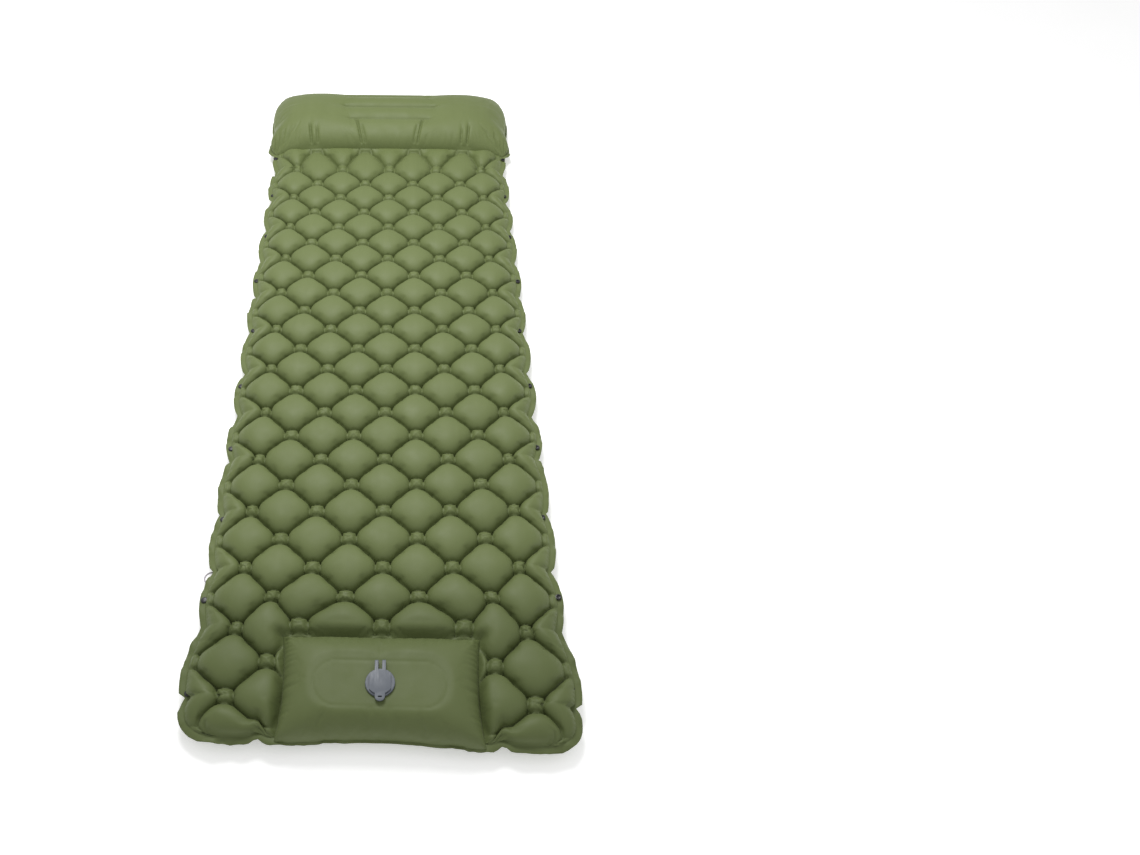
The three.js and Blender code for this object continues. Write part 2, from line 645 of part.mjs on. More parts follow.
/** A short duct through the chamber's wall, with a flap that lets air into the pad only. */
function addCheckValve() {
  const place = groupAt(0, PUMP_BACK - WALL / 2, DUCT_HEIGHT);
  const half = WALL / 2 + GAP;
  const rim = DUCT_RADIUS + DUCT_FLANGE;
  const duct = turned([
    [DUCT_BORE, -DUCT_REACH],
    [DUCT_RADIUS, -DUCT_REACH],
    [DUCT_RADIUS, -half - FLANGE],
    [rim, -half - FLANGE],
    [rim, -half],
    [DUCT_RADIUS, -half],
    [DUCT_RADIUS, half],
    [rim, half],
    [rim, half + FLANGE],
    [DUCT_RADIUS, half + FLANGE],
    [DUCT_RADIUS, DUCT_REACH],
    [DUCT_BORE, DUCT_REACH],
    [DUCT_BORE, -DUCT_REACH],
  ], ROUND_FACETS / 2).rotateX(-Math.PI / 2);
  addPiece("check_valve_body", duct, "valve", place);
  const flapLow = DUCT_REACH + GAP;
  addPiece("check_valve_flap", disc(DUCT_FLAP_RADIUS, flapLow, flapLow + DISC, ROUND_FACETS / 2)
    .rotateX(-Math.PI / 2), "membrane", place);
}

// ---- Deflation valve under the pad --------------------------------------------------------------

const outletY = rowY(OUTLET_ROW_FROM_FOOT);
const outlet = { x: -halfWidth(outletY) + OUTLET_INSET - LOBE_DEPTH / 2, y: outletY };

function addOutletValve() {
  const place = groupAt(outlet.x, outlet.y, 0);
  const ringTop = OUTLET_HEIGHT - GAP;
  const ringLow = ringTop - OUTLET_RING;
  const flangeLow = OUTLET_HEIGHT + SHEET + GAP;
  const bodyTop = flangeLow + FLANGE + SPIDER;
  const spiderLow = bodyTop - SPIDER;
  const body = turned([
    [OUTLET_BORE, ringLow],
    [OUTLET_RADIUS, ringLow],
    [OUTLET_RADIUS, ringTop],
    [OUTLET_NECK, ringTop],
    [OUTLET_NECK, flangeLow],
    [OUTLET_FLANGE, flangeLow],
    [OUTLET_FLANGE, flangeLow + FLANGE],
    [OUTLET_NECK, flangeLow + FLANGE],
    [OUTLET_NECK, bodyTop],
    [OUTLET_BORE, bodyTop],
    [OUTLET_BORE, ringLow],
  ]);
  const reach = OUTLET_BORE + 1;
  const spider = [
    disc(HUB_RADIUS, spiderLow, bodyTop),
    box(-reach, reach, -SPOKE / 2, SPOKE / 2, spiderLow, bodyTop),
    box(-SPOKE / 2, SPOKE / 2, -reach, reach, spiderLow, bodyTop),
  ];
  const strapSide = STRAP_WIDTH / 2;
  const strapEnd = OUTLET_RADIUS + STRAP_REACH;
  const lug = box(OUTLET_NECK, strapEnd + 1, -strapSide, strapSide, ringTop - TONGUE, ringTop);
  const stemHole = disc(STEM_RADIUS + STEM_CLEARANCE, spiderLow - 1, bodyTop + 1);
  addPiece("deflation_valve_body", cut(join(body, ...spider, lug), stemHole), "valve", place);

  const discLow = bodyTop + GAP;
  const buttonTop = spiderLow - GAP - DISC_LIFT;
  addPiece("deflation_diaphragm", turned([
    [0, buttonTop - DISC],
    [BUTTON_RADIUS, buttonTop - DISC],
    [BUTTON_RADIUS, buttonTop],
    [STEM_RADIUS, buttonTop],
    [STEM_RADIUS, discLow],
    [OUTLET_BORE - 1, discLow],
    [OUTLET_BORE - 1, discLow + DISC],
    [0, discLow + DISC],
  ]), "membrane", place);

  const capTop = ringLow - GAP;
  const capLow = capTop - OUTLET_CAP;
  const plugRadius = OUTLET_BORE - PLUG_CLEARANCE;
  const plugTop = buttonTop - DISC - GAP;
  const cap = turned([
    [0, capLow],
    [OUTLET_RADIUS, capLow],
    [OUTLET_RADIUS, capTop],
    [plugRadius, capTop],
    [plugRadius, plugTop],
    [0, plugTop],
  ]);
  const strap = box(plugRadius, strapEnd, -strapSide, strapSide, capLow, capTop);
  const rise = box(strapEnd - STRAP_RISE, strapEnd, -strapSide, strapSide,
    capLow, ringTop - TONGUE - GAP);
  addPiece("deflation_cap", join(cap, strap, rise), "valve", place);

  const loopX = -halfWidth(outletY) - LOOP_OVERHANG + LOOP_RADIUS - outlet.x;
  const loop = tube(LOOP_RADIUS - LOOP_WIDTH, LOOP_RADIUS, capLow, capLow + LOOP).translate(loopX, 0, 0);
  const clear = disc(OUTLET_RADIUS + GAP, capLow - 1, capTop + 1);
  addPiece("deflation_cap_loop", cut(loop, clear), "coating", place);
}

// ---- Assembly -----------------------------------------------------------------------------------

const pastFoot = ([x, y]) => [x, y === FOOT_END ? y - OVERCUT : y];
const pumpHole = slab(ringShape(pumpOutline(GAP, 0).map(pastFoot)), 0, PAD_HEIGHT + OVERCUT);
addPiece("top_sheet", cut(topSheet(), pumpHole, ...snapHoles), "fabric");
addPiece("bottom_sheet", bottomSheet(outlet), "fabric");
addPillow();
addPump();
addIntakeValve();
addCheckValve();
addOutletValve();
addSnaps();

export default pad;
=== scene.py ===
"""Inflatable camping pad with a built-in pillow and foot pump, lying on a pale floor.

Metres, +X to the right, +Y towards the pillow, +Z up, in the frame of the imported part.
"""
import json
import math

import bpy
import numpy as np
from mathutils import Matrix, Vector


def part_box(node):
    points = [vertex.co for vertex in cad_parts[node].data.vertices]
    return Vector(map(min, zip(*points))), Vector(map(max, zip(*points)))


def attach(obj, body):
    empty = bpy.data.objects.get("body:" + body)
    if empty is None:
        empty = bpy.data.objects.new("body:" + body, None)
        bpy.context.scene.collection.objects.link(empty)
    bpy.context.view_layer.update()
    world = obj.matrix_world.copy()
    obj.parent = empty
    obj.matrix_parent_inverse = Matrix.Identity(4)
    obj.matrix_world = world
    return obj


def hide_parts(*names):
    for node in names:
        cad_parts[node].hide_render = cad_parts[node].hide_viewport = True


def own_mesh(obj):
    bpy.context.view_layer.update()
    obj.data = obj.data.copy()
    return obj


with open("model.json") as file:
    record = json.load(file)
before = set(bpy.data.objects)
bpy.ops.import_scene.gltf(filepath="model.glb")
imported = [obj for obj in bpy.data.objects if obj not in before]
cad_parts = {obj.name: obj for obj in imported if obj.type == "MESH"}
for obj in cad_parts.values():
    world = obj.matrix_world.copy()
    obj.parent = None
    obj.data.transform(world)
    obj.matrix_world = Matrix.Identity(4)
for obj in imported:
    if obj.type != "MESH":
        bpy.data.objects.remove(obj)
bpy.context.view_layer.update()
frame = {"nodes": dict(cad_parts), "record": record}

NODES = frame["nodes"]

# ---- Sizes --------------------------------------------------------------------------------------

PITCH = 0.060  # from a cell's crown to its corner
COLUMNS = 5  # half cells each side of the middle
ROWS = 26  # half cells from the pillow to the foot
FINE_STEP = 0.05  # between mesh lines past the dash's ends, as a share of half a cell's side
DASH_END = 0.60  # share of a cell's side that the dash covers
DASH_LINES = 11  # mesh lines along a dash
JUNCTION_RISE = 0.0190  # small raised pad where four dashes meet, over the weld
NECK_RISE = 0.0125  # the crease between a cell's corner and that pad
PUCKER_DEPTH = 0.0040  # of the fold at a cell's corner
EDGE_WELD = 0.011  # width of the flat edge
SIDE_DRAW = 0.008  # how far the air draws the sides in from the flat sheets' outline
LOBE_DEPTH = 0.014  # between two side lobes
PILLOW_LOBE_DEPTH = 0.6 * LOBE_DEPTH
PILLOW_LOBE = 0.140  # from one side lobe beside the pillow to the next
PILLOW_SPREAD = 0.016  # how far the edge beside the pillow stands out past the side lobes
FOOT_FLARE = 0.016  # how much wider the foot is, on each side
FLARE_LENGTH = 0.240
FOOT_SKEW = 0.045  # how far the foot's right side runs on past its left, per metre of width
SKEW_LENGTH = 0.420
HEAD_RADIUS = 0.050  # of the corners
FOOT_RADIUS = 0.068
NOTCH_PLACE = 0.186  # where the foot's edge is pinched in beside the pump
NOTCH_DEPTH = 0.009
NOTCH_WIDTH = 0.010
FOOT_ARCH = 0.008  # how far the foot's edge is drawn in at the pump's middle
SHEET_HALF = 0.0006  # from the weld's middle to a sheet's face
COVER = 0.001  # how far the pillow stands over its CAD solid
SEAM_LAP = 0.001  # how far the cells stand over the pillow's edge at its seam
ROW_SETBACK = 0.024  # from the pillow's seam back to the first row of cells
PILLOW_SEAM_RISE = 0.022  # of the pillow's front seam over the weld
UNDER_PILLOW = 0.045  # how far the first row of cells is drawn out, past the pillow's seam
PUMP_RIM = 0.008  # from the CAD's pump out to its seam, at the sides
PUMP_SETBACK = 0.0035  # from the foot's edge to the pump's seam
PUMP_WAIST = 0.007  # how far the air draws the pump's sides in
PUMP_DEPTH = 0.007  # how far the cells run on under the pump
EDGE_POWER = 0.6  # steepness with which the cells rise from a weld or seam
CLOTH_FRAMES = 10
TINY = 1e-6

PAD_LOW, PAD_HIGH = (Vector(corner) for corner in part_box("top_sheet"))
PILLOW_LOW, PILLOW_HIGH = (Vector(corner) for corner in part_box("pillow_cover"))
PUMP_HIGH = Vector(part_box("pump_skirt")[1])
PANEL_LOW, PANEL_HIGH = (Vector(corner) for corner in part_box("pump_panel"))
BAFFLE_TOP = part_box("pillow_baffle_middle")[1][2]

FOOT_END = PAD_LOW.y
HEAD_END = PILLOW_HIGH.y
HALF_WIDTH = PILLOW_HIGH.x - SIDE_DRAW  # over the side lobes, before the foot flares
CROWN = PAD_HIGH.z
MID = CROWN / 2  # height of the edge weld
PILLOW_FRONT = PILLOW_LOW.y
PILLOW_MIDDLE = (PILLOW_FRONT + HEAD_END) / 2
FIRST_ROW = PILLOW_FRONT - ROW_SETBACK
PILLOW_TOP = PILLOW_HIGH.z + COVER
PUMP_HALF = PUMP_HIGH.x + PUMP_RIM
PUMP_BACK = PUMP_HIGH.y
PUMP_FRONT = FOOT_END + PUMP_SETBACK
PUMP_MIDDLE = (PUMP_FRONT + PUMP_BACK) / 2
PUMP_REACH = (PUMP_BACK - PUMP_FRONT) / 2
PUMP_TOP = PUMP_HIGH.z
VALVE = Vector((0, (PANEL_LOW.y + PANEL_HIGH.y) / 2, PUMP_TOP))
OUTLET_LOW, OUTLET_HIGH = (Vector(corner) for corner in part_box("deflation_diaphragm"))
OUTLET = (OUTLET_LOW + OUTLET_HIGH) / 2
SNAP_BOXES = [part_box(name) for name in NODES if name.startswith("snap_")]
SNAPS_Y = np.array(sorted({round((low[1] + high[1]) / 2, 5) for low, high in SNAP_BOXES}))
LOBE_SIZES = np.random.default_rng(17).uniform(0.55, 1.30, 16)  # of the side lobes' depth


def smooth(x, low, high):
    """0 below low, 1 above high and an S curve between them."""
    t = np.clip((np.asarray(x, float) - low) / (high - low), 0, 1)
    return t * t * (3 - 2 * t)


def gathers(along, seed, shortest=0.008, longest=0.022):
    """Uneven small folds along a seam, from -1 to 1."""
    random = np.random.default_rng(seed)
    lengths = random.uniform(shortest, longest, 8)
    phases = random.uniform(0, 2 * math.pi, 8)
    waves = [np.sin(2 * math.pi * along / length + phase) for length, phase in zip(lengths, phases)]
    return np.clip(sum(waves) / 4, -1, 1)


def half_width(y):
    """Half the pad's width at y, over its side lobes, without the rounded corners."""
    y = np.asarray(y, float)
    row = (FIRST_ROW - y) / PITCH
    size = LOBE_SIZES[np.clip(np.floor((row + 1) / 2), 0, len(LOBE_SIZES) - 1).astype(int)]
    cell_lobes = LOBE_DEPTH * size * (1 - np.abs(np.cos(math.pi * row / 2)) ** 0.8)
    beside_pillow = np.abs(np.cos(math.pi * (y - SNAPS_Y[-1]) / PILLOW_LOBE))
    pillow_lobes = PILLOW_LOBE_DEPTH * (1 - beside_pillow)
    flare = FOOT_FLARE * smooth(FOOT_END + FLARE_LENGTH - y, 0, FLARE_LENGTH - HEAD_RADIUS)
    spread = PILLOW_SPREAD * smooth(y, PILLOW_FRONT - 0.006, PILLOW_FRONT + 0.020)
    return HALF_WIDTH - np.where(row > 0, cell_lobes, pillow_lobes) + flare + spread


def corner_at(end_y):
    """Radius of the two corners at the foot or the head."""
    return FOOT_RADIUS if end_y < 0 else HEAD_RADIUS


def weld_line(y, end_y):
    """X of the crease where the puffed part meets the flat edge, rounded at the end at end_y."""
    radius = corner_at(end_y) - EDGE_WELD
    short = np.clip(radius - np.abs(end_y - y) + EDGE_WELD, 0, radius)
    return half_width(y) - corner_at(end_y) + np.sqrt(radius ** 2 - short ** 2)


def skewed(points):
    """The points with the foot end drawn a little further out on its right side."""
    share = smooth(FOOT_END + SKEW_LENGTH - points[:, 1], 0, SKEW_LENGTH)
    result = points.copy()
    result[:, 1] -= FOOT_SKEW * points[:, 0] * share
    return result


def foot_notch(x):
    """How far the foot's edge is drawn in at x."""
    arch = FOOT_ARCH * (1 - np.clip(x / PUMP_HALF, -1, 1) ** 2) ** 1.5
    return NOTCH_DEPTH * np.exp(-((np.abs(x) - NOTCH_PLACE) / NOTCH_WIDTH) ** 2) + arch


def ruffle(x, y):
    """How far the flat edge waves up or down at (x, y): not at all inside it or at a snap."""
    side = np.abs(x) - np.where(y > 0, weld_line(y, HEAD_END), weld_line(y, FOOT_END))
    foot = FOOT_END + EDGE_WELD - y
    head = y - (HEAD_END - EDGE_WELD)
    out = smooth(np.maximum(np.maximum(side, foot), head), 0, EDGE_WELD)
    to_snap = np.abs(np.asarray(y)[..., None] - SNAPS_Y).min(-1)
    clear = smooth(to_snap, 0.008, 0.024)
    long_waves = 0.0042 * gathers(y + 0.7 * x, 5, 0.030, 0.075)
    short_waves = 0.0016 * gathers(y - x, 9)
    sag = 0.0025
    return out * ((long_waves + short_waves) * clear - sag * clear)


# ---- Sheets as points and faces -----------------------------------------------------------------

class Sheet:
    """Points, faces and the points that a simulation holds still."""

    def __init__(self):
        self.points = np.zeros((0, 3))
        self.held = np.zeros(0, bool)
        self.faces = []

    def add_points(self, points, held):
        start = len(self.points)
        self.points = np.vstack([self.points, points])
        self.held = np.concatenate([self.held, np.broadcast_to(held, len(points))])
        return np.arange(start, start + len(points))

    def add_strip(self, first, second):
        """Quads between two lines of points; they face up if second lies to the left of first."""
        for a, b, c, d in zip(first[:-1], first[1:], second[1:], second[:-1]):
            self.faces.append((int(a), int(b), int(c), int(d)))

    def add_grid(self, x, y, z, held):
        """Points and quads of a grid whose columns run from left to right; returns its numbers."""
        points = np.c_[x.ravel(), y.ravel(), z.ravel()]
        number = self.add_points(points, held).reshape(x.shape)
        for column in range(len(number) - 1):
            self.add_strip(number[column + 1], number[column])
        return number

    def add_edge(self, ring, end_y, at_end, rim_on_left, face_height):
        """The flat welded edge round the end at end_y and both sides, closed at its outer rim.

        The ring is the line of points inside it, and at_end says which of them lie at that end.
        """
        inner = self.points[ring]
        outward = outward_from(inner, end_y, at_end)
        last = ring
        face = [(share, face_height) for share in (0.12, 0.55, 0.94)]
        for share, height in face + [(1, MID)]:
            points = inner.copy()
            points[:, :2] += outward * EDGE_WELD * share
            points[:, 2] = height
            line = self.add_points(points, True)
            first, second = (last, line) if rim_on_left else (line, last)
            self.add_strip(first, second)
            last = line


def outward_from(points, end_y, at_end):
    """Directions that point out of the pad, round the corners at end_y."""
    radius = corner_at(end_y)
    towards = math.copysign(1, end_y)
    centre_x = np.sign(points[:, 0]) * (half_width(points[:, 1]) - radius)
    centre_y = end_y - towards * radius
    at_corner = (towards * (points[:, 1] - centre_y) > 0) & ~at_end
    outward = np.zeros((len(points), 2))
    outward[:, 0] = np.sign(points[:, 0])
    outward[at_end] = (0, towards)
    radial = np.c_[points[:, 0] - centre_x, points[:, 1] - centre_y]
    radial /= np.maximum(np.linalg.norm(radial, axis=1, keepdims=True), 1e-9)
    outward[at_corner] = radial[at_corner]
    return outward


def grid_border(shape):
    border = np.ones(shape, bool)
    border[1:-1, 1:-1] = False
    return border


def puffed(sheet, pressure, growth, bending):
    """The sheet's points once air presses from below: a cloth simulation, held at its welds."""
    scene = bpy.context.scene
    mesh = bpy.data.meshes.new("cloth")
    mesh.from_pydata(sheet.points.tolist(), [], sheet.faces)
    cloth = bpy.data.objects.new("cloth", mesh)
    scene.collection.objects.link(cloth)
    group = cloth.vertex_groups.new(name="held")
    group.add([int(i) for i in np.nonzero(sheet.held)[0]], 1.0, "ADD")
    modifier = cloth.modifiers.new("cloth", "CLOTH")
    settings = modifier.settings
    settings.vertex_group_mass = group.name
    settings.quality = 5
    settings.mass = 0.2
    settings.tension_stiffness = settings.compression_stiffness = settings.shear_stiffness = 60
    settings.bending_stiffness = bending
    settings.bending_damping = 0.5
    settings.air_damping = 2
    settings.use_pressure = True
    settings.uniform_pressure_force = pressure
    settings.shrink_min = 1 - growth
    settings.effector_weights.gravity = 0
    modifier.collision_settings.use_collision = False
    modifier.point_cache.frame_end = CLOTH_FRAMES
    scene.frame_start, scene.frame_end = 1, CLOTH_FRAMES
    for number in range(1, CLOTH_FRAMES + 1):
        scene.frame_set(number)
    result = cloth.evaluated_get(bpy.context.evaluated_depsgraph_get()).data
    points = np.zeros(len(sheet.points) * 3)
    result.vertices.foreach_get("co", points)
    bpy.data.objects.remove(cloth)
    bpy.data.meshes.remove(mesh)
    scene.frame_set(1)
    return points.reshape(-1, 3)


def fabric_piece(name, points, faces, levels=0):
    """A smooth piece of fabric on the pad's body, subdivided and with its modifiers applied."""
    mesh = bpy.data.meshes.new(name)
    mesh.from_pydata(np.asarray(points).tolist(), [], faces)
    mesh.shade_smooth()
    obj = bpy.data.objects.new(name, mesh)
    bpy.context.scene.collection.objects.link(obj)
    if levels:
        modifier = obj.modifiers.new("subdivision", "SUBSURF")
        modifier.levels = modifier.render_levels = levels
        shape = obj.evaluated_get(bpy.context.evaluated_depsgraph_get())
        obj.data = bpy.data.meshes.new_from_object(shape)
        obj.modifiers.clear()
    obj.data.materials.clear()
    obj.data.materials.append(MATERIALS["fabric"])
    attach(obj, "pad")
    return obj


# ---- Materials ----------------------------------------------------------------------------------

class Shader:
    """A Principled material under construction, with shorthands for the nodes used here."""

    def __init__(self, name, **constants):
        self.material = bpy.data.materials.new(name)
        self.material.use_nodes = True
        self.tree = self.material.node_tree
        self.main = self.tree.nodes["Principled BSDF"]
        self.place = self.node("ShaderNodeTexCoord").outputs["Object"]
        for socket, value in constants.items():
            self.main.inputs[socket.replace("_", " ")].default_value = value

    def node(self, kind, **values):
        node = self.tree.nodes.new(kind)
        for key, value in values.items():
            setattr(node, key, value)
        return node

    def link(self, source, target):
        self.tree.links.new(source, target)

    def noise(self, scale, detail=3, stretch=(1, 1, 1)):
        mapping = self.node("ShaderNodeMapping")
        mapping.inputs["Scale"].default_value = stretch
        self.link(self.place, mapping.inputs["Vector"])
        noise = self.node("ShaderNodeTexNoise")
        noise.inputs["Scale"].default_value = scale
        noise.inputs["Detail"].default_value = detail
        self.link(mapping.outputs[0], noise.inputs["Vector"])
        return noise.outputs["Fac"]

    def ramp(self, factor, low, high):
        """Colour or value that goes from low to high as factor crosses its middle part."""
        ramp = self.node("ShaderNodeValToRGB")
        ramp.color_ramp.elements[0].position = 0.3
        ramp.color_ramp.elements[1].position = 0.7
        ramp.color_ramp.elements[0].color = low
        ramp.color_ramp.elements[1].color = high
        self.link(factor, ramp.inputs["Fac"])
        return ramp.outputs["Color"]

    def mix(self, factor, first, second, blend="MIX"):
        """The two colours mixed by a number or by another node's value."""
        mix = self.node("ShaderNodeMix", data_type="RGBA", blend_type=blend)
        if isinstance(factor, float):
            mix.inputs[0].default_value = factor
        else:
            self.link(factor, mix.inputs[0])
        colour_a, colour_b, result = mix.inputs[6], mix.inputs[7], mix.outputs[2]
        self.link(first, colour_a)
        self.link(second, colour_b)
        return result

    def wave(self, scale, direction):
        wave = self.node("ShaderNodeTexWave", bands_direction=direction)
        wave.inputs["Scale"].default_value = scale
        wave.inputs["Distortion"].default_value = 0.6
        wave.inputs["Detail"].default_value = 1
        self.link(self.place, wave.inputs["Vector"])
        return wave.outputs["Fac"]

    def bump(self, height, strength, distance, before=None):
        bump = self.node("ShaderNodeBump")
        bump.inputs["Strength"].default_value = strength
        bump.inputs["Distance"].default_value = distance
        self.link(height, bump.inputs["Height"])
        if before is not None:
            self.link(before, bump.inputs["Normal"])
        return bump.outputs["Normal"]

    def finish(self, colour, roughness, normal):
        self.link(colour, self.main.inputs["Base Color"])
        self.link(roughness, self.main.inputs["Roughness"])
        self.link(normal, self.main.inputs["Normal"])
        return self.material


def grey(value):
    return (value, value, value, 1)


FOOT_SHADE_FROM = FOOT_END + 0.32  # painted shade: the cloth is darker from here towards the foot
FOOT_SHADE_FULLY = FOOT_END + 0.20
FOOT_SHADE_SHARE = 0.55


def nylon():
    """Coated plain-weave nylon in moss green: fine threads, faint streaks, a dull sheen, and
    painted shade that darkens it towards the foot.
    """
    shader = Shader("nylon", Sheen_Weight=0.05, Sheen_Roughness=0.5,
                    Sheen_Tint=(0.75, 0.85, 0.55, 1), Specular_IOR_Level=0.30)
    patches = shader.ramp(shader.noise(7, 4), (0.119, 0.149, 0.050, 1), (0.131, 0.163, 0.057, 1))
    streaks = shader.ramp(shader.noise(60, 3, (1, 0.06, 1)),
                          (0.116, 0.146, 0.049, 1), (0.134, 0.166, 0.059, 1))
    threads = shader.mix(0.5, shader.wave(420, "X"), shader.wave(420, "Y"), "MULTIPLY")
    body = shader.mix(0.4, patches, streaks)
    weave = shader.ramp(threads, (0.092, 0.118, 0.038, 1), (0.148, 0.182, 0.066, 1))
    # painted shade: how much of the darker cloth is blended in, growing towards the foot
    foot_shade = shader.node("ShaderNodeMapRange")
    foot_shade.inputs["From Min"].default_value = FOOT_SHADE_FROM
    foot_shade.inputs["From Max"].default_value = FOOT_SHADE_FULLY
    foot_shade.inputs["To Max"].default_value = FOOT_SHADE_SHARE
    parts = shader.node("ShaderNodeSeparateXYZ")
    shader.link(shader.place, parts.inputs[0])
    shader.link(parts.outputs["Y"], foot_shade.inputs["Value"])
    # painted shade: the darker cloth colour used towards the foot
    shaded_cloth = shader.ramp(shader.noise(20, 4), (0.070, 0.091, 0.028, 1), (0.080, 0.102, 0.033, 1))
    colour = shader.mix(foot_shade.outputs[0], shader.mix(0.22, body, weave), shaded_cloth)
    roughness = shader.ramp(shader.noise(35, 4), grey(0.50), grey(0.62))
    rumple = shader.bump(shader.noise(90, 4), 0.20, 0.0006)
    return shader.finish(colour, roughness, shader.bump(threads, 0.35, 0.00012, rumple))


def moulded(name, dark, light, rough):
    """Satin moulded plastic with a fine grain and handling marks."""
    shader = Shader(name, Specular_IOR_Level=0.5)
    colour = shader.ramp(shader.noise(90, 5), dark, light)
    scuffs = shader.noise(500, 4, (1, 0.15, 1))
    roughness = shader.ramp(scuffs, grey(rough), grey(min(rough + 0.16, 1)))
    grain = shader.bump(shader.noise(2600, 2), 0.25, 0.00006)
    return shader.finish(colour, roughness, shader.bump(shader.noise(60, 2), 0.15, 0.0003, grain))


def foam():
    """Pale open-cell foam, with painted shade that darkens each pore towards its middle."""
    shader = Shader("foam", Sheen_Weight=0.2)
    cells = shader.node("ShaderNodeTexVoronoi")
    cells.inputs["Scale"].default_value = 650
    shader.link(shader.place, cells.inputs["Vector"])
    # painted shade in the pores: each pore is darker towards its middle
    shaded_pores = shader.ramp(cells.outputs["Distance"], (0.35, 0.33, 0.25, 1), (0.74, 0.72, 0.63, 1))
    patches = shader.ramp(shader.noise(12), (0.62, 0.60, 0.51, 1), (0.74, 0.72, 0.63, 1))
    colour = shader.mix(0.5, shaded_pores, patches)
    roughness = shader.ramp(shader.noise(300), grey(0.85), grey(1.0))
    return shader.finish(colour, roughness, shader.bump(cells.outputs["Distance"], 0.7, 0.0008))


MATERIALS = {
    "fabric": nylon(),
    "coating": moulded("coated film", (0.20, 0.23, 0.18, 1), (0.28, 0.31, 0.26, 1), 0.45),
    "foam": foam(),
    "valve": moulded("grey moulding", (0.090, 0.102, 0.122, 1), (0.104, 0.117, 0.138, 1), 0.40),
    "membrane": moulded("black rubber", (0.022, 0.022, 0.024, 1), (0.040, 0.040, 0.042, 1), 0.55),
    "loop": moulded("pale moulding", (0.30, 0.27, 0.31, 1), (0.42, 0.39, 0.43, 1), 0.35),
    "snap": moulded("black gloss", (0.006, 0.006, 0.007, 1), (0.013, 0.013, 0.014, 1), 0.28),
}

for part in frame["record"]["subparts"]:
    node = NODES[part["node"]]
    node.data.materials.clear()
    node.data.materials.append(MATERIALS[part["material_slot"]])


# ---- Pad ----------------------------------------------------------------------------------------

def side_positions():
    """Where mesh lines cross a cell's side, from -1 to 1: closer together past the dash's ends."""
    steps = round((1 - DASH_END) / FINE_STEP)
    end = np.linspace(DASH_END, 1, steps + 1)[1:-1]
    middle = np.linspace(-DASH_END, DASH_END, DASH_LINES)
    return np.concatenate([[-1], -end[::-1], middle, end])


def cell_height(a, b, pinch):
    """Height over the weld at (a, b), each -1 to 1 across a cell whose edges are its weld lines.

    A flat-topped dome inside the dashes meets a small pad at each corner in a creased neck, and
    the pinch puckers it there.
    """
    open_end = 1 - DASH_END
    a, b = np.abs(a), np.abs(b)
    tip = (a + b) / (1 + DASH_END)
    out = np.clip((a ** 14 + b ** 14 + np.clip(tip, 0, 1) ** 14) ** (1 / 14), 0, 1)
    dome = (CROWN - MID) * (1 - out ** 2.1) ** 0.38
    from_corner = np.clip((2 - a - b) / open_end, 0, 1)
    junction = JUNCTION_RISE * (1 - from_corner ** 2.6) ** 0.45
    neck_profile = 1 - np.clip((a - b) / open_end, -1, 1) ** 2
    neck = NECK_RISE * neck_profile * np.exp(-((tip - 1) / 0.06) ** 2)
    pucker = np.exp(-((a - b) / 0.07) ** 2 - ((tip - 0.95) / 0.035) ** 2)
    together = (dome ** 7 + junction ** 7 + neck ** 7) ** (1 / 7)
    return together - PUCKER_DEPTH * pinch * pucker


def pump_distance(x, y):
    """How far a point lies outside the pump's seam; negative inside."""
    across = np.abs(x) - pump_side(y)
    along = np.abs(y - PUMP_MIDDLE) - PUMP_REACH
    outside = np.hypot(np.maximum(across, 0), np.maximum(along, 0))
    return outside + np.minimum(np.maximum(across, along), 0)


def pump_side(y):
    """Half the pump's width at y: its sides are drawn in a little by the air."""
    share = np.clip((y - PUMP_MIDDLE) / PUMP_REACH, -1, 1)
    return PUMP_HALF - PUMP_WAIST * (1 - share ** 2)


def pump_seam_height(x, y):
    """Height of the pump's seam: up on the cells at the head side, down on the weld at the foot."""
    back = smooth(y, PUMP_FRONT + 0.004, PUMP_BACK - 0.02)
    over_cells = 0.0045 + 0.004 * np.abs(np.sin(math.pi * x / (2 * PITCH)))
    at_sides = 0.0050
    side = smooth(np.abs(x), PUMP_HALF - 0.035, PUMP_HALF)
    return MID + back * (over_cells + (at_sides - over_cells) * side)


def pillow_seam_height(x):
    """Height of the pillow's front seam: up on the cells, and down on the weld at its ends."""
    across = np.clip(np.abs(x) / (HALF_WIDTH - EDGE_WELD), 0, 1)
    return MID + PILLOW_SEAM_RISE * (1 - across ** 6)


